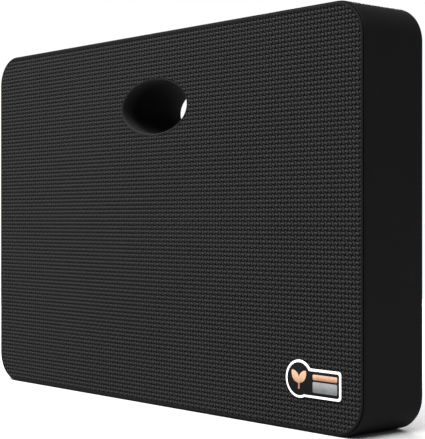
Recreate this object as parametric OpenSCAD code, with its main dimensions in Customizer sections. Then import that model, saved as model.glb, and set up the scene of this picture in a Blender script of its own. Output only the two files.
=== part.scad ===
// Kneeling pad: a foam block with embossed facings, a smooth side skin,
// an oval hand opening and a die-cut label.
// It stands on its long edge: X is the width, Y the thickness, Z the height.
// The origin is at the middle of the bottom edge, and the labelled face looks to -Y.

/* [Pad] */
// Width of the pad, along X
pad_w = 432; // [300:1:600]
// Height of the pad, along Z
pad_h = 280; // [220:1:400]
// Thickness of the pad, along Y
pad_t = 58; // [30:1:100]
// Radius of the pad's four corners
corner_r = 24; // [12:1:60]
// Radius of the soft edge all round each facing
edge_r = 2.4; // [0.5:0.1:2.8]

/* [Skins] */
// Thickness of each embossed facing
facing_t = 3; // [2:0.1:6]
// Thickness of the smooth skin round the sides
side_wall = 2; // [1:0.1:5]
// Thickness of the smooth skin inside the hand opening
liner_wall = 2; // [1:0.1:5]

/* [Hand opening] */
// Width of the oval hand opening
hand_w = 77; // [50:1:120]
// Height of the oval hand opening
hand_h = 40; // [25:1:50]
// Distance from the pad's top edge to the middle of the hand opening
hand_drop = 56; // [45:1:100]
// Distance of the hand opening to the right of the pad's middle
hand_x = 3; // [-40:1:40]

/* [Label] */
// Distance from the pad's right side to the middle of the label's plate
label_side = 38; // [34:1:120]
// Height of the middle of the label's disc above the pad's bottom edge
label_rise = 34.5; // [28:0.5:80]
// Diameter of the label's round end
disc_d = 25; // [20:0.5:30]
// Width of the label's plate, which starts at the middle of the disc
plate_w = 38; // [30:0.5:44]
// Height of the label's plate
plate_h = 19; // [15:0.5:20]
// Distance that the plate's middle sits below the disc's middle
plate_drop = 2; // [0:0.5:3]
// Radius of the plate's corners
plate_r = 2.5; // [2:0.1:5]
// Width of the white border round the dark field
border = 1.6; // [0.8:0.1:2]
// Thickness of the label's adhesive
adhesive_t = 0.15; // [0.05:0.05:0.5]
// Thickness of the label's white film
film_t = 0.35; // [0.1:0.05:1]
// Thickness of each layer of print
print_t = 0.1; // [0.05:0.05:0.3]

/* [Label print] */
// Length of each leaf
leaf_len = 10.5; // [6:0.5:11]
// Width of each leaf
leaf_w = 5.6; // [3:0.2:6.5]
// Angle of each leaf from upright
leaf_lean = 38; // [32:1:50]
// Width of the stem
stem_w = 1.4; // [0.8:0.1:2]
// Length of the stem
stem_len = 8; // [5:0.5:9]
// Length of the two printed bars
bar_len = 22; // [14:0.5:23]
// Height of the tan bar
tan_bar_h = 3.6; // [2:0.1:4]
// Height of the grey bar
grey_bar_h = 7; // [4:0.1:7.5]
// Gap between the two bars
bar_gap = 1.2; // [0.6:0.1:1.4]
// Gap between the bars and the right side of the dark field
bar_side = 1.6; // [0.8:0.1:3]
// Radius of the bars' corners
bar_r = 0.9; // [0.4:0.1:1]

/* [Hidden] */

// Smoothness of the curves
$fn = 96;

// The core fills what the facings and the side skin leave
core_t = pad_t - 2 * facing_t;
core_w = pad_w - 2 * side_wall;
core_h = pad_h - 2 * side_wall;
core_r = corner_r - side_wall;
mid_z = pad_h / 2;
// The soft edge stays inside the facing's own thickness
soft_r = min(edge_r, facing_t - 0.1);
// The straight stretches between the pad's corners
flat_w = pad_w - 2 * corner_r;
flat_h = pad_h - 2 * corner_r;
// The middle of the hand opening, measured up from the pad's middle
hand_up = mid_z - hand_drop;
// How far a cut runs past the face that it opens
past = 1;

// The label is drawn about the middle of its disc
disc_x = pad_w / 2 - label_side - plate_w / 2;
bar_x = plate_w - border - bar_side - bar_len;
bars_h = tan_bar_h + bar_gap + grey_bar_h;
// Depth of the back of each layer of the label, in front of the facing
film_at = adhesive_t;
field_at = film_at + film_t;
art_at = field_at + print_t;

// A rectangle with round corners, centred on the origin
module round_rect(w, h, r) {
    square([w - 2 * r, h], center = true);
    square([w, h - 2 * r], center = true);
    for (x = [-1, 1], z = [-1, 1])
        translate([x * (w / 2 - r), z * (h / 2 - r)]) circle(r = r);
}

// The oval of the hand opening, grown by a wall
module oval(wall) {
    translate([hand_x, hand_up]) scale([hand_w / 2 + wall, hand_h / 2 + wall]) circle(r = 1);
}

// Extrudes an outline and stands it up, centred on the pad's middle plane
module stand(t) {
    translate([0, t / 2, mid_z]) rotate([90, 0, 0]) linear_extrude(height = t) children();
}

// Half of a facing's section, with its outer edge rounded at the top
module facing_section() {
    square([corner_r, facing_t - soft_r]);
    square([corner_r - soft_r, facing_t]);
    translate([corner_r - soft_r, facing_t - soft_r]) intersection() {
        circle(r = soft_r);
        square(soft_r);
    }
}

// A facing lying flat without its hand opening, its soft edge upwards
module facing_slab() {
    translate([-flat_w / 2, -flat_h / 2, 0]) cube([flat_w, flat_h, facing_t]);
    for (x = [-1, 1], z = [-1, 1])
        translate([x * flat_w / 2, z * flat_h / 2, 0]) rotate_extrude() facing_section();
    for (side = [0, 1]) {
        mirror([side, 0, 0]) translate([flat_w / 2, flat_h / 2, 0]) rotate([90, 0, 0])
            linear_extrude(height = flat_h) facing_section();
        mirror([0, side, 0]) translate([-flat_w / 2, flat_h / 2, 0]) rotate([90, 0, 90])
            linear_extrude(height = flat_w) facing_section();
    }
}

// The facing on the -Y side of the pad
module facing() {
    translate([0, facing_t - pad_t / 2, mid_z]) rotate([90, 0, 0]) difference() {
        facing_slab();
        translate([0, 0, -past]) linear_extrude(height = facing_t + 2 * past) oval(liner_wall);
    }
}

// Extrudes a layer of the label at its depth in front of the facing
module label_layer(depth, t) {
    translate([disc_x, -pad_t / 2 - depth, label_rise]) rotate([90, 0, 0])
        linear_extrude(height = t) children();
}

// The label's outline: a disc with a plate to its right, both inset by a margin
module label_outline(margin) {
    circle(d = disc_d - 2 * margin);
    translate([(plate_w - margin) / 2, -plate_drop])
        round_rect(plate_w - margin, plate_h - 2 * margin, plate_r - margin / 2);
}

// A pointed leaf that grows upwards from the origin
module leaf() {
    arc_r = (pow(leaf_len / 2, 2) + pow(leaf_w / 2, 2)) / leaf_w;
    translate([0, leaf_len / 2]) intersection() {
        translate([arc_r - leaf_w / 2, 0]) circle(r = arc_r);
        translate([leaf_w / 2 - arc_r, 0]) circle(r = arc_r);
    }
}

// A printed bar on the plate, with its lower edge at a given height above the bars' foot
module bar(foot, h) {
    translate([bar_x + bar_len / 2, foot + h / 2 - bars_h / 2 - plate_drop])
        round_rect(bar_len, h, bar_r);
}

module foam_core() {
    color("#1b1b1c") stand(core_t) difference() {
        round_rect(core_w, core_h, core_r);
        oval(liner_wall);
    }
}

module front_facing() {
    color("#2d2d2e") facing();
}

module back_facing() {
    color("#2d2d2e") mirror([0, 1, 0]) facing();
}

module side_skin() {
    color("#1a1a1a") stand(core_t) difference() {
        round_rect(pad_w, pad_h, corner_r);
        round_rect(core_w, core_h, core_r);
    }
}

module opening_liner() {
    color("#0d0d0d") stand(pad_t) difference() {
        oval(liner_wall);
        oval(0);
    }
}

module label_adhesive() {
    color("#c9c4b0") label_layer(0, adhesive_t) label_outline(0);
}

module label_film() {
    color("#f2f2f0") label_layer(film_at, film_t) label_outline(0);
}

module label_field() {
    color("#2a2624") label_layer(field_at, print_t) label_outline(border);
}

module label_leaf() {
    color("#b98a5e") label_layer(art_at, print_t) translate([0, -leaf_len / 4]) {
        for (side = [-1, 1]) rotate(side * leaf_lean) leaf();
        translate([-stem_w / 2, -stem_len / 2]) square([stem_w, stem_len]);
    }
}

module label_tan_bar() {
    color("#b98a5e") label_layer(art_at, print_t) bar(grey_bar_h + bar_gap, tan_bar_h);
}

module label_grey_bar() {
    color("#6f7074") label_layer(art_at, print_t) bar(0, grey_bar_h);
}

foam_core();
front_facing();
back_facing();
side_skin();
opening_liner();
label_adhesive();
label_film();
label_field();
label_leaf();
label_tan_bar();
label_grey_bar();
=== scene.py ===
"""The kneeling pad's visual model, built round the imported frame.

The pad is a thick block of closed-cell foam that stands on its long edge. Two embossed covers, a smooth skin
round the sides and a smooth skin through the hand opening are built as closed shells of real relief, and a
small die-cut label sits on the front cover. Every size is in metres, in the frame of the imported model.
"""

import logging
import math
from dataclasses import dataclass, replace
from enum import Enum
from typing import Sequence, Union

import bmesh
import bpy
import numpy as np
from mathutils import Matrix, Vector


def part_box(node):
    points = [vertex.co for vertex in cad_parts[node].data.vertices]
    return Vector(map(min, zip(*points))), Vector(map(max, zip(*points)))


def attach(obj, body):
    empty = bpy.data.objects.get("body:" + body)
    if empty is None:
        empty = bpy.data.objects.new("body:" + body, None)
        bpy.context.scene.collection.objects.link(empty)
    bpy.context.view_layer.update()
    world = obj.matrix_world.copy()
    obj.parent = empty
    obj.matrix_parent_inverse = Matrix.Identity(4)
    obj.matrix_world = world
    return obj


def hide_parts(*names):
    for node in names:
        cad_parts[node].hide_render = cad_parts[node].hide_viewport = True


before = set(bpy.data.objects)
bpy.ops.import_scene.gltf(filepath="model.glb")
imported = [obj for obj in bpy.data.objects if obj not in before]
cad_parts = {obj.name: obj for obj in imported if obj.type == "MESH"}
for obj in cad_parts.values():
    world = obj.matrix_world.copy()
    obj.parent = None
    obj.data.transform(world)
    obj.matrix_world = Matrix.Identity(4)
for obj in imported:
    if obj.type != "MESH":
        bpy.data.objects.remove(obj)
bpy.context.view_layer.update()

MM = 0.001
TINY = 1e-12
BODY = "root"
log = logging.getLogger("kneeling_pad")

Colour = tuple[float, float, float, float]
Section = Sequence[tuple[float, float]]
Softbox = tuple[str, tuple[float, float, float], float, float]


def grey(level: float, warmth: float = 0.0) -> Colour:
    """A neutral colour of a linear level, a little warmer or cooler by warmth."""
    return (level * (1 + warmth), level, level * (1 - warmth), 1.0)


# ---------------------------------------------------------------- shader graphs


class Wire:
    """One number that flows through a node tree. Arithmetic on it adds Math nodes."""

    def __init__(self, graph: "Graph", socket: bpy.types.NodeSocket) -> None:
        """Wraps an output socket.

        Args:
            graph: The graph that the socket belongs to.
            socket: The output that carries the number.
        """
        self.graph = graph
        self.socket = socket

    def __add__(self, other: "Value") -> "Wire":
        """Sum of two values."""
        return self.graph.math("ADD", self, other)

    def __radd__(self, other: "Value") -> "Wire":
        """Sum of two values, the wire second."""
        return self.graph.math("ADD", other, self)

    def __sub__(self, other: "Value") -> "Wire":
        """Difference of two values."""
        return self.graph.math("SUBTRACT", self, other)

    def __rsub__(self, other: "Value") -> "Wire":
        """Difference of two values, the wire second."""
        return self.graph.math("SUBTRACT", other, self)

    def __mul__(self, other: "Value") -> "Wire":
        """Product of two values."""
        return self.graph.math("MULTIPLY", self, other)

    def clamped(self) -> "Wire":
        """The value kept between 0 and 1."""
        return self.graph.math("ADD", self, 0.0, clamp=True)


Value = Union[Wire, float]
Link = Union[Wire, bpy.types.NodeSocket, float, Sequence[float]]


class Graph:
    """A material's node tree, with one method that makes any node and short names for the usual ones."""

    def __init__(self, name: str) -> None:
        """Starts an empty tree with a Principled shader.

        Args:
            name: The material's name.
        """
        self.material = bpy.data.materials.new(name)
        self.material.use_nodes = True
        self.tree = self.material.node_tree
        self.tree.nodes.clear()
        self.shader = self.node("ShaderNodeBsdfPrincipled")
        self.node("ShaderNodeOutputMaterial", inputs={"Surface": self.shader.outputs[0]})
        self.place = self.node("ShaderNodeTexCoord").outputs["Object"]

    def node(
        self,
        kind: str,
        settings: dict[str, object] | None = None,
        inputs: dict[str | int, Link] | None = None,
    ) -> bpy.types.Node:
        """Makes a node, sets it up, then fills or links its inputs.

        Args:
            kind: The node's type name.
            settings: The node's own settings.
            inputs: Values or links, by the input's name, identifier or number.

        Returns:
            The new node.
        """
        made = self.tree.nodes.new(kind)
        for key, value in (settings or {}).items():
            setattr(made, key, value)
        for key, value in (inputs or {}).items():
            self.feed(self._input(made, key), value)
        return made

    def feed(self, socket: bpy.types.NodeSocket, value: Link) -> None:
        """Sets an input, or links it where the value is a wire or an output.

        Args:
            socket: The input.
            value: A number, a colour, a wire or an output.
        """
        source = value.socket if isinstance(value, Wire) else value
        if isinstance(source, bpy.types.NodeSocket):
            self.tree.links.new(source, socket)
        else:
            socket.default_value = source

    @staticmethod
    def _input(node: bpy.types.Node, key: str | int) -> bpy.types.NodeSocket:
        """An input by its number, its identifier or its name.

        Args:
            node: The node.
            key: The input's name, identifier or number.

        Returns:
            The input socket.
        """
        if isinstance(key, int):
            return node.inputs[key]
        exact = [s for s in node.inputs if s.identifier == key]
        return exact[0] if exact else node.inputs[key]

    def math(self, operation: str, *values: Value, clamp: bool = False) -> Wire:
        """A Math node on the given values."""
        settings = {"operation": operation, "use_clamp": clamp}
        return Wire(self, self.node("ShaderNodeMath", settings, dict(enumerate(values))).outputs[0])

    def step(self, value: Value, low: float, high: float) -> Wire:
        """A smooth rise from 0 at low to 1 at high.

        Args:
            value: What the rise follows.
            low: Where it starts.
            high: Where it ends.

        Returns:
            The share, from 0 to 1.
        """
        made = self.node(
            "ShaderNodeMapRange",
            {"interpolation_type": "SMOOTHSTEP"},
            {"Value": value, "From Min": low, "From Max": high},
        )
        return Wire(self, made.outputs["Result"])

    def stretched(self, factors: Sequence[float]) -> bpy.types.NodeSocket:
        """The place on the object, stretched along each axis."""
        made = self.node("ShaderNodeMapping", None, {"Vector": self.place, "Scale": factors})
        return made.outputs[0]

    def noise(self, size: float, detail: float = 2.0, rough: float = 0.5, place: Link | None = None) -> Wire:
        """Cloudy noise from 0 to 1.

        Args:
            size: How far apart its blobs are, in metres.
            detail: How many finer layers it has.
            rough: How strong the finer layers are.
            place: The coordinates, or the object's own.

        Returns:
            The noise's value.
        """
        inputs = {"Vector": place or self.place, "Scale": 1 / size, "Detail": detail, "Roughness": rough}
        return Wire(self, self.node("ShaderNodeTexNoise", None, inputs).outputs[0])

    def cells(self, size: float, place: Link | None = None) -> Wire:
        """The distance to the nearest cell's middle, in cell sizes."""
        inputs = {"Vector": place or self.place, "Scale": 1 / size}
        return Wire(self, self.node("ShaderNodeTexVoronoi", None, inputs).outputs["Distance"])

    def attribute(self, name: str) -> Wire:
        """A number that the mesh carries at each point."""
        return Wire(self, self.node("ShaderNodeAttribute", {"attribute_name": name}).outputs["Fac"])

    def axis(self, letter: str) -> Wire:
        """One of the object's own coordinates, in metres."""
        return Wire(self, self.node("ShaderNodeSeparateXYZ", None, {"Vector": self.place}).outputs[letter])

    def blend(self, share: Value, first: Link, second: Link) -> bpy.types.NodeSocket:
        """A colour between two, by a share from 0 to 1."""
        inputs = {"Factor_Float": share, "A_Color": first, "B_Color": second}
        return self.node("ShaderNodeMix", {"data_type": "RGBA"}, inputs).outputs[2]

    def bump(self, height: Value, depth: float, strength: float = 1.0) -> bpy.types.NodeSocket:
        """The surface's normal with a height of the given depth laid over it."""
        inputs = {"Height": height, "Distance": depth, "Strength": strength}
        return self.node("ShaderNodeBump", None, inputs).outputs[0]

    def finish(self, **links: Link) -> None:
        """Feeds the shader's inputs, with underscores in their names for spaces."""
        for key, value in links.items():
            self.feed(self.shader.inputs[key.replace("_", " ")], value)


# ---------------------------------------------------------------- the pressed weave


@dataclass(frozen=True)
class CanvasWeave:
    """The plain weave that is pressed into the foam: short round bars that run level and upright by turns.

    Attributes:
        pitch: Distance between threads.
        depth: Depth of the relief.
        bump: Depth of the part of the relief that is finer than the mesh.
        thread: Half a thread's width, in pitches.
        level_rise: Height of a level thread halfway between over and under, from 0 to 1.
        upright_rise: The same for an upright thread.
        swing: How far a thread swings above and below that height.
        upright_crest: Height of the upright threads' crests beside the level ones.
        level_slant: How far the level bars lean.
        upright_slant: How far the upright bars lean.
        nudge: Shift, in pitches, that puts a point on a cell's border in the next cell.
        samples: Mesh points to a pitch.
        border: Width over which the relief fades in at an edge.
    """

    pitch: float = 3.07 * MM
    depth: float = 1.0 * MM
    bump: float = 0.3 * MM
    thread: float = 0.33
    level_rise: float = 0.62
    upright_rise: float = 0.65
    swing: float = 1.6
    upright_crest: float = 0.84
    level_slant: float = 0.2
    upright_slant: float = 0.35
    nudge: float = 1e-4
    samples: int = 5
    border: float = 0.6 * MM

    def height(self, x: np.ndarray, z: np.ndarray) -> np.ndarray:
        """The relief's height, from 0 in a pit to 1 on a crest.

        Args:
            x: The points' places along X.
            z: The points' heights.

        Returns:
            The relief at each point.
        """
        across, up = x / self.pitch, z / self.pitch
        column, row = np.floor(across + self.nudge), np.floor(up + self.nudge)
        off_x, off_z = across - column - 0.5, up - row - 0.5
        upright = (column + row) % 2 == 1
        along, aside = np.where(upright, off_z, off_x), np.where(upright, off_x, off_z)
        lean = np.where(upright, self.upright_slant, self.level_slant)
        lean_below = self.level_slant + self.upright_slant - lean
        over = self._round(aside + lean * along) * self._arch(along, upright, 1)
        under = self._round(along - lean_below * aside) * self._arch(aside, ~upright, -1)
        return np.maximum(over, under)

    def _round(self, off: np.ndarray) -> np.ndarray:
        """A thread's round section, by the distance from its middle."""
        return np.sqrt(np.clip(1 - (off / self.thread) ** 2, 0, 1))

    def _arch(self, along: np.ndarray, upright: np.ndarray, way: int) -> np.ndarray:
        """A thread's height along its length, over the next one for way 1 and under it for way -1.

        Args:
            along: Place along the thread, from a cell's middle, in pitches.
            upright: Whether each cell's upper thread is the upright one.
            way: 1 for the upper thread and -1 for the one below it.

        Returns:
            The height at each point.
        """
        rise = np.where(upright, self.upright_rise, self.level_rise)
        crest = np.where(upright, self.upright_crest, 1.0)
        return crest * np.clip(rise + way * self.swing * np.cos(math.pi * along), 0, 1)

    def wires(self, graph: Graph) -> Wire:
        """The same relief as shader nodes.

        Args:
            graph: The material that it is for.

        Returns:
            The relief's height.
        """
        across, up = graph.axis("X") * (1 / self.pitch), graph.axis("Z") * (1 / self.pitch)
        column, row = graph.math("FLOOR", across), graph.math("FLOOR", up)
        off_x, off_z = across - column - 0.5, up - row - 0.5
        upright = graph.math("FLOORED_MODULO", column + row, 2.0)
        along, aside = off_x + upright * (off_z - off_x), off_z + upright * (off_x - off_z)
        over_arch = self._arch_wire(graph, along, upright, 1)
        under_arch = self._arch_wire(graph, aside, 1.0 - upright, -1)
        lean = upright * (self.upright_slant - self.level_slant) + self.level_slant
        lean_below = self.level_slant + self.upright_slant - lean
        over = self._round_wire(graph, aside + along * lean) * over_arch
        under = self._round_wire(graph, along - aside * lean_below) * under_arch
        return graph.math("MAXIMUM", over, under)

    def _round_wire(self, graph: Graph, off: Wire) -> Wire:
        """A thread's round section as nodes."""
        share = off * (1 / self.thread)
        return graph.math("SQRT", graph.math("MAXIMUM", 1.0 - share * share, 0.0))

    def _arch_wire(self, graph: Graph, along: Wire, upright: Wire, way: int) -> Wire:
        """A thread's height along its length as nodes.

        Args:
            graph: The material that it is for.
            along: Place along the thread, from a cell's middle, in pitches.
            upright: 1 where the thread is an upright one, else 0.
            way: 1 for the upper thread and -1 for the one below it.

        Returns:
            The height.
        """
        rise = upright * (self.upright_rise - self.level_rise) + self.level_rise
        crest = upright * (self.upright_crest - 1.0) + 1.0
        return (graph.math("COSINE", along * math.pi) * (way * self.swing) + rise).clamped() * crest


# ---------------------------------------------------------------- finishes


@dataclass(frozen=True)
class Finish:
    """What every finish has.

    Attributes:
        name: The material's name.
        slot: A material slot's name. Not used.
        specular: Strength of the surface's reflection.
    """

    name: str
    slot: str
    specular: float = 0.3

    def build(self) -> bpy.types.Material:
        """Makes the material.

        Returns:
            The material, ready for a piece.
        """
        graph = Graph(self.name)
        graph.shader.inputs["Specular IOR Level"].default_value = self.specular
        self.paint(graph)
        return graph.material

    def paint(self, graph: Graph) -> None:
        """Feeds the shader. Each finish has its own."""
        raise NotImplementedError


@dataclass(frozen=True)
class EmbossedFoam(Finish):
    """Black foam sheet with pressed canvas relief and a fine closed grain; its colour is paler on the crests
    and darker in the pits, which is painted shade in the hollows.

    Attributes:
        painted_pit_shade: Colour at the bottom of the relief, darkened as painted shade in the hollows.
        crest: Colour of its tops.
        rim: Colour of the smooth rolled rim.
        grain_share: How far the fine grain shifts the mix of pit and crest.
        mottle_share: How far the slow mottling shifts it.
        patch_share: How far patches of a thread's size shift it.
        weave: The pressed weave.
        woven: Name of the mesh's attribute that is 1 where the weave is and 0 on the rim.
    """

    specular: float = 0.04
    painted_pit_shade: Colour = grey(0.0018)
    crest: Colour = grey(0.0192, 0.01)
    rim: Colour = grey(0.006)
    grain_share: float = 0.3
    mottle_share: float = 0.14
    patch_share: float = 0.7
    weave: CanvasWeave = CanvasWeave()
    woven: str = "woven"

    def paint(self, graph: Graph) -> None:
        """Colour by relief, which paints shade into the pits, and by slow mottling, with a grain in colour,
        gloss and height.

        Args:
            graph: The material's graph.
        """
        height = self.weave.wires(graph)
        woven = graph.attribute(self.woven)
        mottling = graph.noise(60 * MM, 3.0)
        patches = graph.noise(2.6 * MM, 2.0, 0.6)
        grain = graph.noise(0.45 * MM, 3.0, 0.6)
        # The share of crest colour follows the relief's height, so the pits get painted shade; grain,
        # patches and mottling add random tone on top.
        lift = height + (grain - 0.5) * self.grain_share
        lift = lift + (mottling - 0.5) * self.mottle_share + (patches - 0.5) * self.patch_share
        painted_relief_shade = graph.blend(graph.step(lift, 0.1, 0.85), self.painted_pit_shade, self.crest)
        relief = height * woven * self.weave.bump + grain * 0.05 * MM
        graph.finish(
            Base_Color=graph.blend(woven, self.rim, painted_relief_shade),
            Roughness=0.74 - height * 0.1 + (grain - 0.5) * 0.16,
            Normal=graph.bump(relief, 1.0),
        )


@dataclass(frozen=True)
class SmoothSkin(Finish):
    """Smooth moulded foam skin with a faint orange peel, slow mottling and light rubs.

    Attributes:
        base: The skin's colour.
        rubbed: Colour where it has been rubbed.
    """

    specular: float = 0.038
    base: Colour = grey(0.0052)
    rubbed: Colour = grey(0.0105)

    def paint(self, graph: Graph) -> None:
        """Even dark colour with rubs and a fine peel.

        Args:
            graph: The material's graph.
        """
        mottling = graph.noise(45 * MM, 3.0)
        peel = graph.noise(1.4 * MM, 2.0, 0.4)
        pores = graph.step(graph.cells(0.9 * MM), 0.0, 0.32)
        streaks = graph.noise(1.0, 4.0, 0.6, graph.stretched((900.0, 60.0, 60.0)))
        rubs = graph.step(streaks + (mottling - 0.5) * 0.5, 0.62, 0.82)
        graph.finish(
            Base_Color=graph.blend(rubs * 0.4 + (mottling - 0.5) * 0.25, self.base, self.rubbed),
            Roughness=0.52 + (mottling - 0.5) * 0.16 - rubs * 0.08 + (1.0 - pores) * 0.1,
            Normal=graph.bump(peel * 0.6 + pores * 0.4, 0.06 * MM, 0.5),
        )


@dataclass(frozen=True)
class OpeningFoam(Finish):
    """The skin through the hand opening, with fine cutting lines round it: painted shade darkens it to near
    black away from the faces, and its lips are paler.

    Attributes:
        painted_deep_shade: Colour inside, near black as painted shade deep in the opening.
        line: Colour on the crests of the cutting lines.
        lip: Colour of the lips.
        face: How far each face is from the pad's middle.
        reach: How far in from a face the paler colour goes before the painted shade takes over.
    """

    specular: float = 0.05
    painted_deep_shade: Colour = grey(0.0012)
    line: Colour = grey(0.004)
    lip: Colour = grey(0.010)
    face: float = 29 * MM
    reach: float = 15 * MM

    def paint(self, graph: Graph) -> None:
        """Lines that follow the opening's edge, and a fade from the pale lips to painted shade inside.

        Args:
            graph: The material's graph.
        """
        lines = graph.noise(1.0, 2.0, 0.5, graph.stretched((30.0, 700.0, 30.0)))
        crests = graph.step(lines, 0.42, 0.62)
        grain = graph.noise(0.6 * MM, 2.0)
        # The colour fades from the lips to near black deeper in: painted shade in the opening.
        depth = graph.math("ABSOLUTE", graph.axis("Y"))
        near = graph.step(depth + (grain - 0.5) * 1.5 * MM, self.face - self.reach, self.face)
        inside = graph.blend(crests * 0.8, self.painted_deep_shade, self.line)
        graph.finish(
            Base_Color=graph.blend(near, inside, self.lip),
            Roughness=0.75 + (grain - 0.5) * 0.2,
            Normal=graph.bump(crests * 0.7 + grain * 0.3, 0.12 * MM, 0.7),
        )


@dataclass(frozen=True)
class CutFoam(Finish):
    """The block's own closed cells, as they show where foam is cut.

    Attributes:
        wall: Colour of the cell walls.
        cell: Colour inside a cell.
    """

    wall: Colour = grey(0.02)
    cell: Colour = grey(0.005)

    def paint(self, graph: Graph) -> None:
        """Small round cells of two sizes.

        Args:
            graph: The material's graph.
        """
        small = graph.cells(0.7 * MM)
        large = graph.cells(2.1 * MM)
        walls = graph.step(graph.math("MINIMUM", small, large * 1.4), 0.15, 0.5)
        graph.finish(
            Base_Color=graph.blend(walls, self.cell, self.wall),
            Roughness=0.9 - walls * 0.15,
            Normal=graph.bump(walls, 0.2 * MM, 0.7),
        )


@dataclass(frozen=True)
class Vinyl(Finish):
    """Satin white vinyl with a trace of grime and a slight ripple.

    Attributes:
        clean: Its colour where it is clean.
        grimy: Its colour where dirt has settled.
    """

    specular: float = 0.5
    clean: Colour = (0.84, 0.84, 0.83, 1.0)
    grimy: Colour = (0.6, 0.58, 0.54, 1.0)

    def paint(self, graph: Graph) -> None:
        """White with faint grime.

        Args:
            graph: The material's graph.
        """
        grime = graph.step(graph.noise(7 * MM, 4.0, 0.6), 0.55, 0.85)
        ripple = graph.noise(3.1 * MM, 1.0)
        graph.finish(
            Base_Color=graph.blend(grime * 0.35, self.clean, self.grimy),
            Roughness=0.38 + grime * 0.2,
            Normal=graph.bump(ripple, 0.05 * MM, 0.6),
        )


@dataclass(frozen=True)
class PrintedInk(Finish):
    """A layer of print: a soft change of tone from foot to top, with a fine printed grain.

    Attributes:
        low: Colour at the foot.
        high: Colour at the top.
        foot: Height of the foot.
        top: Height of the top.
    """

    specular: float = 0.5
    low: Colour = grey(0.1)
    high: Colour = grey(0.2)
    foot: float = 0.0
    top: float = 1.0

    def paint(self, graph: Graph) -> None:
        """A tone that follows the height, broken by grain.

        Args:
            graph: The material's graph.
        """
        grain = graph.noise(0.5 * MM, 2.0)
        cloud = graph.noise(4 * MM, 2.0)
        share = graph.step(graph.axis("Z"), self.foot, self.top)
        tone = (share + (grain - 0.5) * 0.3 + (cloud - 0.5) * 0.7).clamped()
        graph.finish(
            Base_Color=graph.blend(tone, self.low, self.high),
            Roughness=0.4 + (grain - 0.5) * 0.12,
            Normal=graph.bump(grain, 0.02 * MM, 0.5),
        )


@dataclass(frozen=True)
class Tack(Finish):
    """The label's adhesive: a cloudy, slightly yellow film.

    Attributes:
        thin: Colour where it is thin.
        thick: Colour where it is thick.
    """

    thin: Colour = (0.5, 0.48, 0.38, 1.0)
    thick: Colour = (0.66, 0.62, 0.47, 1.0)

    def paint(self, graph: Graph) -> None:
        """Cloudy yellow.

        Args:
            graph: The material's graph.
        """
        cloud = graph.noise(2.5 * MM, 3.0)
        graph.finish(
            Base_Color=graph.blend(cloud, self.thin, self.thick),
            Roughness=0.3 + cloud * 0.2,
            Normal=graph.bump(cloud, 0.03 * MM, 0.5),
        )


@dataclass(frozen=True)
class PaleFloor(Finish):
    """The studio's plain pale floor.

    Attributes:
        tone: Its colour.
        worn: Its colour where it is a little darker.
    """

    tone: Colour = grey(0.47)
    worn: Colour = grey(0.455)

    def paint(self, graph: Graph) -> None:
        """An even pale grey, hardly mottled.

        Args:
            graph: The material's graph.
        """
        cloud = graph.noise(0.5, 3.0)
        graph.finish(Base_Color=graph.blend(cloud, self.tone, self.worn), Roughness=0.8 + cloud * 0.1)


# ---------------------------------------------------------------- outlines


@dataclass(frozen=True)
class RoundedOutline:
    """A rectangle with round corners, standing in the XZ plane.

    Attributes:
        half_w: Half its width.
        half_h: Half its height.
        radius: Radius of its corners.
        centre_z: Height of its middle.
    """

    half_w: float
    half_h: float
    radius: float
    centre_z: float

    def distance(self, x: np.ndarray, z: np.ndarray) -> np.ndarray:
        """How far points lie outside the outline, negative inside.

        Args:
            x: The points' places along X.
            z: The points' heights.

        Returns:
            The distance at each point.
        """
        past_x = np.abs(x) - (self.half_w - self.radius)
        past_z = np.abs(z - self.centre_z) - (self.half_h - self.radius)
        corner = np.hypot(np.maximum(past_x, 0), np.maximum(past_z, 0))
        return corner + np.minimum(np.maximum(past_x, past_z), 0) - self.radius

    def nearest(self, x: np.ndarray, z: np.ndarray) -> tuple[np.ndarray, ...]:
        """The outline's closest points to points near it.

        Args:
            x: The points' places along X.
            z: The points' heights.

        Returns:
            The closest points' x and z, and the outward normals' x and z.
        """
        core_x = np.clip(x, self.radius - self.half_w, self.half_w - self.radius)
        core_z = np.clip(z - self.centre_z, self.radius - self.half_h, self.half_h - self.radius)
        away_x, away_z = x - core_x, z - self.centre_z - core_z
        length = np.maximum(np.hypot(away_x, away_z), TINY)
        return self._on_arcs(core_x, core_z, away_x / length, away_z / length)

    def stations(self, count: int) -> tuple[np.ndarray, ...]:
        """Evenly spaced points round the outline.

        Args:
            count: How many points.

        Returns:
            The points' x and z, and the outward normals' x and z.
        """
        core_w, core_h = self.half_w - self.radius, self.half_h - self.radius
        legs = [2 * core_h, math.pi / 2 * self.radius, 2 * core_w, math.pi / 2 * self.radius] * 2
        breaks = np.concatenate([[0.0], np.cumsum(legs)])
        along = np.linspace(0, breaks[-1], count, endpoint=False)
        turn = np.interp(along, breaks, np.radians([0, 0, 90, 90, 180, 180, 270, 270, 360]))
        core_x = np.interp(along, breaks, core_w * np.array([1, 1, 1, -1, -1, -1, -1, 1, 1]))
        core_z = np.interp(along, breaks, core_h * np.array([-1, 1, 1, 1, 1, -1, -1, -1, -1]))
        return self._on_arcs(core_x, core_z, np.cos(turn), np.sin(turn))

    def _on_arcs(self, *parts: np.ndarray) -> tuple[np.ndarray, ...]:
        """The outline's points and outward normals, from the corner arcs' centres and the normals.

        Args:
            parts: The arc centres' x and z, and the normals' x and z.

        Returns:
            The points' x and z, and the outward normals' x and z.
        """
        core_x, core_z, norm_x, norm_z = parts
        x = core_x + norm_x * self.radius
        return x, core_z + self.centre_z + norm_z * self.radius, norm_x, norm_z


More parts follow.
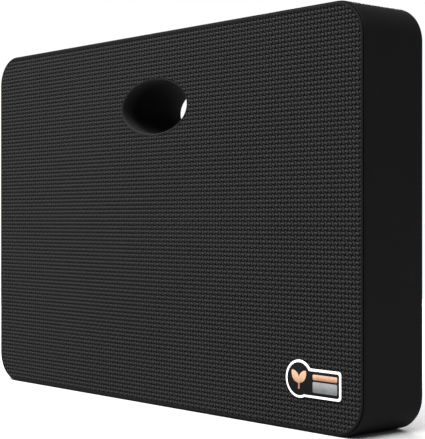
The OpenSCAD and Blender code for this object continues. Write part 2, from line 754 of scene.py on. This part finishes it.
@dataclass(frozen=True)
class OvalOutline:
    """An ellipse standing in the XZ plane.

    Attributes:
        half_w: Half its width.
        half_h: Half its height.
        centre_x: Its middle along X.
        centre_z: Height of its middle.
    """

    half_w: float
    half_h: float
    centre_x: float
    centre_z: float

    def _at(self, turn: np.ndarray) -> tuple[np.ndarray, ...]:
        """Points and outward normals at angles round the oval.

        Args:
            turn: The angles.

        Returns:
            The points' x and z, and the outward normals' x and z.
        """
        x, z = self.half_w * np.cos(turn), self.half_h * np.sin(turn)
        norm_x, norm_z = x / self.half_w**2, z / self.half_h**2
        length = np.hypot(norm_x, norm_z)
        return x + self.centre_x, z + self.centre_z, norm_x / length, norm_z / length

    def distance(self, x: np.ndarray, z: np.ndarray) -> np.ndarray:
        """How far points lie outside the oval, negative inside."""
        near_x, near_z, norm_x, norm_z = self.nearest(x, z)
        return (x - near_x) * norm_x + (z - near_z) * norm_z

    def nearest(self, x: np.ndarray, z: np.ndarray) -> tuple[np.ndarray, ...]:
        """The oval's closest points, found by Newton's method.

        Args:
            x: The points' places along X.
            z: The points' heights.

        Returns:
            The closest points' x and z, and the outward normals' x and z.
        """
        across, up = x - self.centre_x, z - self.centre_z
        turn = np.arctan2(up * self.half_w, across * self.half_h)
        squash = self.half_h**2 - self.half_w**2
        for _ in range(6):
            slope = squash * np.sin(turn) * np.cos(turn)
            slope += self.half_w * across * np.sin(turn) - self.half_h * up * np.cos(turn)
            curve = squash * np.cos(2 * turn)
            curve += self.half_w * across * np.cos(turn) + self.half_h * up * np.sin(turn)
            turn = turn - slope / np.where(np.abs(curve) < TINY, TINY, curve)
        return self._at(turn)

    def stations(self, count: int) -> tuple[np.ndarray, ...]:
        """Points round the oval, at even steps of its angle."""
        return self._at(np.linspace(0, 2 * math.pi, count, endpoint=False))


Outline = Union[RoundedOutline, OvalOutline]


# ---------------------------------------------------------------- the pad's sizes


@dataclass(frozen=True)
class PadSizes:
    """The pad's sizes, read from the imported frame, with the few that only the looks need.

    Attributes:
        rim: The pad's outer outline.
        opening: The hand opening's outline.
        thick: The pad's thickness.
        facing: Thickness of an embossed facing.
        side_wall: Thickness of the side skin.
        liner_wall: Thickness of the opening's skin.
        soft_edge: Radius of the pad's edges.
        lip: Radius of the hand opening's lips.
        groove: Depth of the crease between a cover and the side skin.
    """

    rim: RoundedOutline
    opening: OvalOutline
    thick: float
    facing: float
    side_wall: float
    liner_wall: float
    soft_edge: float = 2.4 * MM
    lip: float = 1.3 * MM
    groove: float = 1.5 * MM

    @classmethod
    def from_frame(cls) -> "PadSizes":
        """Reads the sizes from the CAD nodes.

        Returns:
            The sizes.
        """
        side_low, side_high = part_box("side_skin")
        core_low, core_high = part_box("foam_core")
        liner_low, liner_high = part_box("opening_liner")
        half_w, half_h = (side_high.x - side_low.x) / 2, (side_high.z - side_low.z) / 2
        side_wall = side_high.x - core_high.x
        top = [v.co.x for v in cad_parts["side_skin"].data.vertices if v.co.z > side_high.z - 1e-6]
        thick = liner_high.y - liner_low.y
        liner_wall = cls._liner_wall()
        return cls(
            rim=RoundedOutline(half_w, half_h, half_w - max(top), (side_low.z + side_high.z) / 2),
            opening=OvalOutline(
                (liner_high.x - liner_low.x) / 2 - liner_wall,
                (liner_high.z - liner_low.z) / 2 - liner_wall,
                (liner_high.x + liner_low.x) / 2,
                (liner_high.z + liner_low.z) / 2,
            ),
            thick=thick,
            facing=(thick - (core_high.y - core_low.y)) / 2,
            side_wall=side_wall,
            liner_wall=liner_wall,
        )

    @staticmethod
    def _liner_wall() -> float:
        """Thickness of the opening's skin: the gap between its two topmost heights.

        Returns:
            The thickness.
        """
        low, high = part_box("opening_liner")
        middle = (low.x + high.x) / 2
        column = [v.co.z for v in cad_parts["opening_liner"].data.vertices if abs(v.co.x - middle) < MM]
        inner = [z for z in column if (low.z + high.z) / 2 < z < high.z - 0.5 * MM]
        return high.z - max(inner)


@dataclass(frozen=True)
class SoftForm:
    """How real foam strays from its drawing: crowned faces and a slow waviness.

    Attributes:
        sizes: The pad's sizes.
        crown: How far the middle of each face stands out.
        wave: Depth of the waviness.
        cross_wave: Radians per metre and start of the wave along X, then along Z.
        slant_wave: Radians per metre of the slanting wave, along X and along Z.
        slant_share: Strength of the slanting wave beside the crossing ones.
    """

    sizes: PadSizes
    crown: float = 0.6 * MM
    wave: float = 0.18 * MM
    cross_wave: tuple[float, ...] = (41.0, 1.3, 53.0, 0.4)
    slant_wave: tuple[float, float] = (83.0, -67.0)
    slant_share: float = 0.6

    def lift(self, x: np.ndarray, z: np.ndarray) -> np.ndarray:
        """How far a face stands out at a place.

        Args:
            x: The points' places along X.
            z: The points' heights.

        Returns:
            The lift at each point.
        """
        rim = self.sizes.rim
        across, up = x / rim.half_w, (z - rim.centre_z) / rim.half_h
        dome = np.clip(1 - across**2, 0, 1) * np.clip(1 - up**2, 0, 1)
        turn_x, start_x, turn_z, start_z = self.cross_wave
        wave = np.sin(x * turn_x + start_x) * np.sin(z * turn_z + start_z)
        wave += self.slant_share * np.sin(x * self.slant_wave[0] + z * self.slant_wave[1])
        return dome * (self.crown + self.wave * wave)

    def apply(self, points: np.ndarray) -> np.ndarray:
        """Moves a piece's points as the soft pad's faces move.

        Args:
            points: The piece's points, one to a row.

        Returns:
            The moved points.
        """
        share = np.clip(np.abs(points[:, 1]) / (self.sizes.thick / 2), 0, 1) ** 2
        moved = points.copy()
        moved[:, 1] += np.sign(points[:, 1]) * share * self.lift(points[:, 0], points[:, 2])
        return moved


# ---------------------------------------------------------------- mesh tools


class Shell:
    """A bmesh that is built ring by ring between outlines, and becomes one piece."""

    def __init__(self) -> None:
        """Starts an empty shell."""
        self.bm = bmesh.new()

    @staticmethod
    def draw_onto(
        verts: Sequence[bmesh.types.BMVert], outline: Outline, offset: float, depth: float
    ) -> None:
        """Puts points that are near an outline at an offset from it and at a depth.

        Args:
            verts: The points.
            outline: The outline that they are near.
            offset: How far outside the outline they are put.
            depth: Their place along Y.
        """
        x = np.array([v.co.x for v in verts])
        z = np.array([v.co.z for v in verts])
        near_x, near_z, norm_x, norm_z = outline.nearest(x, z)
        for vert, px, pz, nx, nz in zip(verts, near_x, near_z, norm_x, norm_z):
            vert.co = (px + nx * offset, depth, pz + nz * offset)

    def first_ring(
        self, outline: Outline, count: int, offset: float, depth: float
    ) -> list[bmesh.types.BMEdge]:
        """Lays a ring of edges along an outline.

        Args:
            outline: The outline to follow.
            count: How many points the ring has.
            offset: How far outside the outline it lies.
            depth: Its place along Y.

        Returns:
            The ring's edges.
        """
        made = bmesh.ops.create_circle(self.bm, cap_ends=False, segments=count, radius=1.0)["verts"]
        for vert, px, pz, nx, nz in zip(made, *outline.stations(count)):
            vert.co = (px + nx * offset, depth, pz + nz * offset)
        return list({e for v in made for e in v.link_edges})

    def next_ring(
        self, edges: Sequence[bmesh.types.BMEdge], outline: Outline, offset: float, depth: float
    ) -> list[bmesh.types.BMEdge]:
        """Extrudes a ring to a new offset and depth.

        Args:
            edges: The ring's edges.
            outline: The outline that it follows.
            offset: The new ring's distance outside the outline.
            depth: The new ring's place along Y.

        Returns:
            The new ring's edges.
        """
        made = bmesh.ops.extrude_edge_only(self.bm, edges=edges)["geom"]
        self.draw_onto([g for g in made if isinstance(g, bmesh.types.BMVert)], outline, offset, depth)
        return [g for g in made if isinstance(g, bmesh.types.BMEdge)]

    def sweep(self, outline: Outline, count: int, section: Section) -> None:
        """Sweeps a closed section round an outline.

        Args:
            outline: The outline to follow.
            count: How many stations it has.
            section: The section's (offset, depth) points, in order.
        """
        first = self.first_ring(outline, count, *section[0])
        last = first
        for offset, depth in section[1:]:
            last = self.next_ring(last, outline, offset, depth)
        bmesh.ops.bridge_loops(self.bm, edges=first + last)

    def cap(self, edges: Sequence[bmesh.types.BMEdge], normal: Sequence[float]) -> None:
        """Fills the flat space between rings."""
        bmesh.ops.triangle_fill(self.bm, use_beauty=False, edges=edges, normal=normal)

    def piece(self, name: str, smooth: bool = True) -> bpy.types.Object:
        """Closes the shell and makes it an object at the origin.

        Args:
            name: The piece's name.
            smooth: Whether its faces are shaded smooth.

        Returns:
            The new object.
        """
        bmesh.ops.recalc_face_normals(self.bm, faces=self.bm.faces)
        for face in self.bm.faces:
            face.smooth = smooth
        mesh = bpy.data.meshes.new(name)
        self.bm.to_mesh(mesh)
        self.bm.free()
        made = bpy.data.objects.new(name, mesh)
        bpy.context.scene.collection.objects.link(made)
        return made


def swept_skin(
    name: str, outline: Outline, stations: int, section: Section, form: "SoftForm"
) -> bpy.types.Object:
    """Makes a skin that runs round an outline through the pad's whole thickness.

    Args:
        name: The piece's name.
        outline: The outline that it follows.
        stations: How many points it has round the outline.
        section: Its closed section, as (offset, depth behind the front face).
        form: The pad's soft form, which bends it.

    Returns:
        The new piece, not dressed yet.
    """
    shell = Shell()
    half = form.sizes.thick / 2
    shell.sweep(outline, stations, [(offset, depth - half) for offset, depth in section])
    piece = shell.piece(name)
    set_points(piece, form.apply(points_of(piece)))
    return piece


def points_of(piece: bpy.types.Object) -> np.ndarray:
    """A piece's points, one to a row.

    Args:
        piece: The piece.

    Returns:
        The points.
    """
    flat = np.empty(len(piece.data.vertices) * 3)
    piece.data.vertices.foreach_get("co", flat)
    return flat.reshape(-1, 3)


def set_points(piece: bpy.types.Object, points: np.ndarray) -> None:
    """Moves a piece's points."""
    piece.data.vertices.foreach_set("co", points.ravel())
    piece.data.update()


def set_number(piece: bpy.types.Object, name: str, values: np.ndarray) -> None:
    """Stores a number at each of a piece's points."""
    piece.data.attributes.new(name, "FLOAT", "POINT").data.foreach_set("value", values.astype(np.float32))


def settle(piece: bpy.types.Object, finish: Finish, *nodes: str, fill: float | None = None) -> None:
    """Gives a finished piece its material and its body, and hides the CAD nodes that it stands for.

    Args:
        piece: The piece.
        finish: Its finish.
        nodes: The CAD nodes that it stands for.
        fill: How full it is, for a padded piece. Not used.
    """
    piece.data.materials.clear()
    piece.data.materials.append(finish.build())
    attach(piece, BODY)
    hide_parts(*nodes)
    log.info("%s: %d points, %d faces", piece.name, len(piece.data.vertices), len(piece.data.polygons))


# ---------------------------------------------------------------- foam pieces


class Face(Enum):
    """The pad's two faces."""

    FRONT = "front"
    BACK = "back"


@dataclass
class EmbossedCover:
    """A foam sheet with the weave pressed into it, rolled over at its rim.

    Attributes:
        face: Which face it covers.
        sizes: The pad's sizes.
        form: The pad's soft form.
        weave: The pressed weave.
        finish: Its finish.
    """

    face: Face
    sizes: PadSizes
    form: SoftForm
    weave: CanvasWeave
    finish: EmbossedFoam

    def build(self) -> bpy.types.Object:
        """Makes the cover.

        Returns:
            The finished piece.
        """
        opening = self.sizes.opening
        shell = Shell()
        self._lay_grid(shell.bm)
        self._trim(shell.bm, opening)
        self._roll_edges(shell, opening)
        piece = shell.piece(f"{self.face.value}_embossed_cover")
        self._emboss(piece, opening)
        settle(piece, self.finish, f"{self.face.value}_facing", fill=1.0)
        return piece

    def _lay_grid(self, bm: bmesh.types.BMesh) -> None:
        """Lays a flat grid whose lines fall on the weave's threads.

        Args:
            bm: The mesh to lay it in.
        """
        rim = self.sizes.rim
        step = self.weave.pitch / self.weave.samples
        half_x = math.ceil(rim.half_w / step) + 1
        half_z = math.ceil(rim.half_h / step) + 1
        spread = Matrix.Diagonal((half_x * step, half_z * step, 1.0, 1.0))
        stand = Matrix.Rotation(math.pi / 2, 4, "X")
        raise_up = Matrix.Translation((0.0, 0.0, round(rim.centre_z / step) * step))
        bmesh.ops.create_grid(
            bm, x_segments=2 * half_x, y_segments=2 * half_z, size=1.0, matrix=raise_up @ stand @ spread
        )

    def _reach(self, opening: OvalOutline, x: np.ndarray, z: np.ndarray) -> np.ndarray:
        """How far points lie inside the woven area, negative outside it.

        Args:
            opening: The hand opening's outline.
            x: The points' places along X.
            z: The points' heights.

        Returns:
            The distance to the woven area's edge at each point.
        """
        rim_reach = -self.sizes.soft_edge - self.sizes.rim.distance(x, z)
        near = np.hypot(x - opening.centre_x, z - opening.centre_z) < 2 * opening.half_w
        reach = rim_reach.copy()
        hole_reach = opening.distance(x[near], z[near]) - self.sizes.lip
        reach[near] = np.minimum(rim_reach[near], hole_reach)
        return reach

    def _trim(self, bm: bmesh.types.BMesh, opening: OvalOutline) -> None:
        """Cuts the grid to the woven area and draws its edge onto the outlines.

        Args:
            bm: The mesh that holds the grid.
            opening: The hand opening's outline.
        """
        half_step = self.weave.pitch / self.weave.samples / 2
        verts = list(bm.verts)
        places = np.array([v.co for v in verts])
        reach = self._reach(opening, places[:, 0], places[:, 2])
        outside = [v for v, inside in zip(verts, reach > -half_step) if not inside]
        bmesh.ops.delete(bm, geom=outside, context="VERTS")
        edge = [v for v in bm.verts if v.is_boundary]
        for near, outline, offset in self._sort(edge, opening):
            Shell.draw_onto(near, outline, offset, 0.0)
        inner = {e.other_vert(v) for v in edge for e in v.link_edges} - set(edge)
        for _ in range(3):
            bmesh.ops.smooth_vert(
                bm, verts=list(inner), factor=0.5, use_axis_x=True, use_axis_y=False, use_axis_z=True
            )

    def _sort(
        self, verts: Sequence[bmesh.types.BMVert], opening: OvalOutline
    ) -> list[tuple[list[bmesh.types.BMVert], Outline, float]]:
        """Splits boundary points between the rim and the opening.

        Args:
            verts: The boundary points.
            opening: The hand opening's outline.

        Returns:
            The rim's points and the opening's, each with its outline and the offset from it.
        """
        places = np.array([v.co for v in verts])
        at_hole = opening.distance(places[:, 0], places[:, 2]) < 4 * self.sizes.lip
        hole = [v for v, near in zip(verts, at_hole) if near]
        rim = [v for v, near in zip(verts, at_hole) if not near]
        return [(rim, self.sizes.rim, -self.sizes.soft_edge), (hole, opening, self.sizes.lip)]

    def _roll_edges(self, shell: Shell, opening: OvalOutline) -> None:
        """Rolls the rim down to the crease, turns the hole's edge in, and closes the back.

        Args:
            shell: The trimmed grid.
            opening: The hand opening's outline.
        """
        sizes = self.sizes
        edges = [e for e in shell.bm.edges if e.is_boundary]
        ends = {v for e in edges for v in e.verts}
        ends = sorted(ends, key=lambda v: v.index)
        at_hole = set(self._sort(ends, opening)[1][0])
        hole = [e for e in edges if e.verts[0] in at_hole]
        rim = [e for e in edges if e.verts[0] not in at_hole]
        for offset, depth in rolled_rim(sizes):
            rim = shell.next_ring(rim, sizes.rim, offset, depth)
        for depth in (sizes.facing / 3, sizes.facing):
            hole = shell.next_ring(hole, opening, sizes.lip, depth)
        shell.cap(rim + hole, (0.0, 1.0, 0.0))

    def _emboss(self, piece: bpy.types.Object, opening: OvalOutline) -> None:
        """Presses the weave into the flat part, and moves the cover out to its face.

        Args:
            piece: The closed cover.
            opening: The hand opening's outline.
        """
        points = points_of(piece)
        flat = np.abs(points[:, 1]) < 0.001 * MM
        x, z = points[flat, 0], points[flat, 2]
        fade = np.clip(self._reach(opening, x, z) / self.weave.border, 0, 1)
        fade = fade * fade * (3 - 2 * fade)
        woven = np.zeros(len(points))
        woven[flat] = fade
        points[flat, 1] += (1 - self.weave.height(x, z)) * fade * self.weave.depth
        set_number(piece, self.finish.woven, woven)
        points[:, 1] -= self.sizes.thick / 2
        if self.face is Face.BACK:
            points[:, 1] *= -1
            piece.data.flip_normals()
        set_points(piece, self.form.apply(points))


def rolled_rim(sizes: PadSizes) -> list[tuple[float, float]]:
    """A cover's rolled edge, from its face to the foot of the crease and in to its back.

    Args:
        sizes: The pad's sizes.

    Returns:
        The (offset, depth) of each ring.
    """
    edge = sizes.soft_edge
    rolled = [edge_point(sizes, angle) for angle in (10, 20, 28, 33, 35)]
    foot = edge_point(sizes, 36, sizes.groove)
    return [*rolled, foot, (-edge - 0.4 * MM, edge + 0.2 * MM), (-sizes.facing, sizes.facing)]


def edge_point(sizes: PadSizes, angle: float, sunk: float = 0.0) -> tuple[float, float]:
    """A point on the pad's soft edge.

    Args:
        sizes: The pad's sizes.
        angle: How far round the edge, from the face at 0 to the side at 90 degrees.
        sunk: How far below the surface it lies.

    Returns:
        Its offset from the outer outline and its depth behind the face.
    """
    turn = math.radians(angle)
    reach = sizes.soft_edge - sunk
    return -sizes.soft_edge + reach * math.sin(turn), sizes.soft_edge - reach * math.cos(turn)


@dataclass
class SideSkin:
    """The smooth skin round the pad's four sides, with a crease at each cover.

    Attributes:
        sizes: The pad's sizes.
        form: The pad's soft form.
        finish: Its finish.
        stations: Points round the pad.
        bow: How far the middle of a side is drawn in.
    """

    sizes: PadSizes
    form: SoftForm
    finish: SmoothSkin
    stations: int = 900
    bow: float = 0.35 * MM

    def section(self) -> list[tuple[float, float]]:
        """The skin's closed section: out of one crease, over the side, into the other, and back inside.

        Returns:
            The section's (offset, depth) points.
        """
        thick, wall = self.sizes.thick, self.sizes.side_wall
        front = [edge_point(self.sizes, 60, self.sizes.groove)]
        front += [edge_point(self.sizes, angle) for angle in (56, 59, 66, 78, 90)]
        flank = [(0.0, thick * share) for share in (0.08, 0.14, 0.22, 0.32, 0.42)]
        half = [(-wall, self.sizes.facing + wall / 2), *front, *flank]
        return half + [(offset, thick - depth) for offset, depth in reversed(half)]

    def build(self) -> bpy.types.Object:
        """Makes the skin.

        Returns:
            The finished piece.
        """
        piece = swept_skin("side_skin_band", self.sizes.rim, self.stations, self.section(), self.form)
        set_points(piece, self._bow(points_of(piece)))
        settle(piece, self.finish, "side_skin", fill=1.0)
        return piece

    def _bow(self, points: np.ndarray) -> np.ndarray:
        """Draws the middle of the sides in a little, but not the bottom that the pad stands on.

        Args:
            points: The skin's points, one to a row.

        Returns:
            The moved points.
        """
        rim = self.sizes.rim
        near_x, near_z, norm_x, norm_z = rim.nearest(points[:, 0], points[:, 2])
        middle = np.clip(1 - (points[:, 1] / (self.sizes.thick / 2)) ** 2, 0, 1)
        upright, standing = np.abs(norm_x) > 0.99, norm_z <= -0.5
        ends = np.abs(np.where(upright, (near_z - rim.centre_z) / rim.half_h, near_x / rim.half_w))
        draw = self.bow * middle * np.clip(1 - ends**2, 0, 1) * ~standing
        points[:, 0] -= norm_x * draw
        points[:, 2] -= norm_z * draw
        return points


@dataclass
class OpeningSkin:
    """The smooth skin through the hand opening, with a round lip at each face.

    Attributes:
        sizes: The pad's sizes.
        form: The pad's soft form.
        finish: Its finish.
        stations: Points round the opening.
    """

    sizes: PadSizes
    form: SoftForm
    finish: OpeningFoam
    stations: int = 240

    def section(self) -> list[tuple[float, float]]:
        """The skin's closed section, from the front lip down the wall and back outside.

        Returns:
            The section's (offset, depth) points.
        """
        lip, thick, wall = self.sizes.lip, self.sizes.thick, self.sizes.liner_wall
        angles = [math.radians(a) for a in (0, 15, 30, 45, 60, 75, 90)]
        front = [(lip - lip * math.sin(a), lip - lip * math.cos(a)) for a in angles]
        flank = [(0.0, thick * share) for share in (0.1, 0.2, 0.32, 0.45)]
        half = [(wall, self.sizes.facing), (lip, 0.8 * MM), *front, *flank]
        return half + [(offset, thick - depth) for offset, depth in reversed(half)]

    def build(self) -> bpy.types.Object:
        """Makes the skin.

        Returns:
            The finished piece.
        """
        opening = self.sizes.opening
        piece = swept_skin("hand_opening_skin", opening, self.stations, self.section(), self.form)
        settle(piece, self.finish, "opening_liner", fill=1.0)
        return piece


@dataclass
class FoamBlock:
    """The foam block inside the skins, a closed solid with the hand opening through it.

    Attributes:
        sizes: The pad's sizes.
        finish: Its finish.
        gap: Clearance to the skins, so that nothing shares a surface.
        chamfer: Width of the slope at its edges.
        rim_points: Points round its outside.
        opening_points: Points round its opening.
    """

    sizes: PadSizes
    finish: CutFoam
    gap: float = 0.05 * MM
    chamfer: float = 0.6 * MM
    rim_points: int = 360
    opening_points: int = 120

    def build(self) -> bpy.types.Object:
        """Makes the block.

        Returns:
            The finished piece.
        """
        sizes = self.sizes
        half = sizes.thick / 2 - sizes.facing - self.gap
        shell = Shell()
        rings = [(0.0, -half), (1.0, self.chamfer - half), (1.0, 0.0)]
        rings += [(share, -depth) for share, depth in reversed(rings[:-1])]
        outer = -sizes.side_wall - self.gap - self.chamfer
        inner = sizes.liner_wall + self.gap + self.chamfer
        front, back = [], []
        for outline, count, start, way in (
            (sizes.rim, self.rim_points, outer, self.chamfer),
            (sizes.opening, self.opening_points, inner, -self.chamfer),
        ):
            ring = shell.first_ring(outline, count, start, rings[0][1])
            front += ring
            for share, depth in rings[1:]:
                ring = shell.next_ring(ring, outline, start + way * share, depth)
            back += ring
        shell.cap(front, (0.0, -1.0, 0.0))
        shell.cap(back, (0.0, 1.0, 0.0))
        piece = shell.piece("foam_block", smooth=False)
        settle(piece, self.finish, "foam_core", fill=1.0)
        return piece


# ---------------------------------------------------------------- label


@dataclass
class Label:
    """The die-cut label: adhesive, white film, dark field, a sprig of leaves and two bars.

    Attributes:
        form: The pad's soft form, which the label follows.
        film: Finish of the white film.
        tack: Finish of the adhesive.
        field: Finish of the dark field.
        tan: Finish of the leaves and the upper bar.
        plain: Finish of the lower bar.
    """

    form: SoftForm
    film: Vinyl
    tack: Tack
    field: PrintedInk
    tan: PrintedInk
    plain: PrintedInk

    def build(self) -> list[bpy.types.Object]:
        """Makes the label's pieces.

        Returns:
            The finished pieces.
        """
        layers = (
            ("label_adhesive", "label_tack_layer", self.tack, 0.02),
            ("label_film", "label_sheet", self.film, 0.12),
            ("label_field", "label_print_field", self.field, 0.03),
            ("label_leaf", "label_print_sprig", self.tan, 0.04),
            ("label_tan_bar", "label_print_upper_bar", self.tan, 0.04),
            ("label_grey_bar", "label_print_lower_bar", self.plain, 0.04),
        )
        return [self._layer(node, name, finish, bevel * MM) for node, name, finish, bevel in layers]

    def _layer(self, node: str, name: str, finish: Finish, bevel: float) -> bpy.types.Object:
        """Makes one layer from its CAD outline, with its front edge rounded.

        Args:
            node: The CAD node that it stands for.
            name: The piece's name.
            finish: Its finish.
            bevel: Radius of its front edge.

        Returns:
            The finished piece.
        """
        shell = Shell()
        shell.bm.from_mesh(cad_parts[node].data)
        bmesh.ops.remove_doubles(shell.bm, verts=shell.bm.verts, dist=1e-7)
        bmesh.ops.dissolve_limit(
            shell.bm, angle_limit=math.radians(1), verts=shell.bm.verts, edges=shell.bm.edges
        )
        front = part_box(node)[0].y + 0.001 * MM
        ahead = [e for e in shell.bm.edges if all(v.co.y < front for v in e.verts)]
        bmesh.ops.bevel(
            shell.bm, geom=ahead, offset=bevel, affect="EDGES", segments=2, profile=0.5, material=-1
        )
        piece = shell.piece(name, smooth=False)
        set_points(piece, self._laid(points_of(piece)))
        if isinstance(finish, PrintedInk):
            low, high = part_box(node)
            finish = replace(finish, name=name, foot=low.z, top=high.z)
        settle(piece, finish, node)
        return piece

    def _laid(self, points: np.ndarray) -> np.ndarray:
        """Follows the crown of the cover below.

        Args:
            points: A layer's points, one to a row.

        Returns:
            The moved points.
        """
        moved = points.copy()
        moved[:, 1] -= self.form.lift(points[:, 0], points[:, 2])
        return moved


# ---------------------------------------------------------------- studio


@dataclass
class Studio:
    """The pale floor, the soft lights and the camera.

    Attributes:
        azimuth: Where the camera stands round the pad, in degrees from the front.
        distance: From the camera to the pad's middle, along the view.
        aim_right: How far to the right of the pad's middle the camera looks.
        aim_up: How far above the pad's middle the camera looks.
        lens: The lens's focal length, in millimetres.
        sensor: The sensor's width, in millimetres.
        clip: The nearest and the farthest that the camera sees.
        surround: How strongly the white surround lights the pad.
        sky_power: Strength of the wide light from above.
        sky_from: Where that light comes from.
        sky_spread: How wide it is, in degrees.
        softboxes: Each softbox's name, place from the pad's middle, side and power in watts.
        floor_reach: How far the floor goes on each side of the pad.
    """

    azimuth: float = 49.3
    distance: float = 0.9928
    aim_right: float = 0.02415
    aim_up: float = -0.0005
    lens: float = 106.0
    sensor: float = 36.0
    clip: tuple[float, float] = (0.05, 60.0)
    surround: float = 0.3
    sky_power: float = 6.7
    sky_from: tuple[float, float, float] = (0.1, -0.45, 1.0)
    sky_spread: float = 60.0
    softboxes: tuple[Softbox, ...] = (
        ("key_softbox", (-0.22, -0.42, 0.68), 0.45, 9.5),
        ("rear_softbox", (-0.8, 0.95, 0.3), 0.6, 22.0),
    )
    floor_reach: float = 30.0

    def set_camera(self, middle: Vector) -> None:
        """Stands the camera at the pad's middle height, level.

        Args:
            middle: The pad's middle.
        """
        turn = math.radians(self.azimuth)
        right = Vector((math.cos(turn), math.sin(turn), 0.0))
        ahead = Vector((-math.sin(turn), math.cos(turn), 0.0))
        data = bpy.data.cameras.new("studio_camera")
        data.lens = self.lens
        data.sensor_width = self.sensor
        data.clip_start, data.clip_end = self.clip
        camera = bpy.data.objects.new("studio_camera", data)
        aim = middle + right * self.aim_right + Vector((0, 0, self.aim_up))
        camera.location = aim - ahead * self.distance
        camera.rotation_euler = ahead.to_track_quat("-Z", "Y").to_euler()
        bpy.context.scene.collection.objects.link(camera)
        bpy.context.scene.camera = camera

    def build(self, middle: Vector) -> None:
        """Lays the floor, hangs the lights and sets the world.

        Args:
            middle: The pad's middle, which the lights point at.
        """
        bpy.context.scene.view_settings.view_transform = "Standard"
        self._floor()
        self._world()
        self._sky_panel()
        for name, offset, side, power in self.softboxes:
            self._softbox(name, middle, Vector(offset), side, power)

    def _floor(self) -> None:
        """A wide flat floor under the pad."""
        shell = Shell()
        bmesh.ops.create_grid(shell.bm, x_segments=8, y_segments=8, size=self.floor_reach)
        floor = shell.piece("studio_floor")
        floor.data.materials.append(PaleFloor("pale_floor", "").build())

    def _world(self) -> None:
        """A white surround that lights the pad only a little."""
        world = bpy.data.worlds.new("studio_surround")
        world.use_nodes = True
        tree = world.node_tree
        seen = tree.nodes.new("ShaderNodeLightPath").outputs["Is Camera Ray"]
        level = tree.nodes.new("ShaderNodeMapRange")
        level.inputs["To Min"].default_value = self.surround
        tree.links.new(seen, level.inputs["Value"])
        tree.links.new(level.outputs["Result"], tree.nodes["Background"].inputs["Strength"])
        tree.nodes["Background"].inputs["Color"].default_value = grey(1.0)
        bpy.context.scene.world = world

    def _sky_panel(self) -> None:
        """Hangs the very wide soft light from above and a little from the front."""
        data = bpy.data.lights.new("sky_panel", "SUN")
        data.energy = self.sky_power
        data.angle = math.radians(self.sky_spread)
        self._hang(data, Vector(), Vector(self.sky_from))

    def _softbox(self, name: str, target: Vector, offset: Vector, side: float, power: float) -> None:
        """Hangs a square softbox.

        Args:
            name: Its name.
            target: What it points at.
            offset: Where it hangs, from the target.
            side: Its side.
            power: Its power, in watts.
        """
        data = bpy.data.lights.new(name, "AREA")
        data.size = side
        data.energy = power
        self._hang(data, target, offset)

    @staticmethod
    def _hang(data: bpy.types.Light, target: Vector, offset: Vector) -> None:
        """Hangs a light at an offset from its target, and points it there.

        Args:
            data: The light.
            target: What it points at.
            offset: Where it hangs, from the target.
        """
        light = bpy.data.objects.new(data.name, data)
        light.location = target + offset
        light.rotation_euler = (-offset).to_track_quat("-Z", "Y").to_euler()
        bpy.context.scene.collection.objects.link(light)


def main() -> None:
    """Builds the studio and every piece, in order."""
    logging.basicConfig(level=logging.INFO, format="%(message)s")
    sizes = PadSizes.from_frame()
    log.info("sizes: %s", sizes)
    studio = Studio()
    middle = Vector((0.0, 0.0, sizes.rim.centre_z))
    studio.set_camera(middle)
    studio.build(middle)
    form = SoftForm(sizes)
    weave = CanvasWeave()
    embossed = EmbossedFoam("embossed_black_foam", "embossed_foam")
    for face in Face:
        EmbossedCover(face, sizes, form, weave, embossed).build()
    SideSkin(sizes, form, SmoothSkin("smooth_side_skin", "smooth_skin")).build()
    opening_foam = OpeningFoam("opening_foam", "smooth_skin", face=sizes.thick / 2)
    OpeningSkin(sizes, form, opening_foam).build()
    FoamBlock(sizes, CutFoam("cut_cell_foam", "foam")).build()
    Label(
        form=form,
        film=Vinyl("white_vinyl", "white_vinyl"),
        tack=Tack("label_tack", "adhesive"),
        field=PrintedInk("dark_print", "dark_print", low=grey(0.002), high=grey(0.005), specular=0.06),
        tan=PrintedInk("tan_print", "tan_print", low=(0.24, 0.11, 0.055, 1), high=(0.5, 0.31, 0.19, 1)),
        plain=PrintedInk("grey_print", "grey_print", low=grey(0.08, -0.03), high=grey(0.21, -0.03)),
    ).build()


if __name__ == "__main__":
    main()
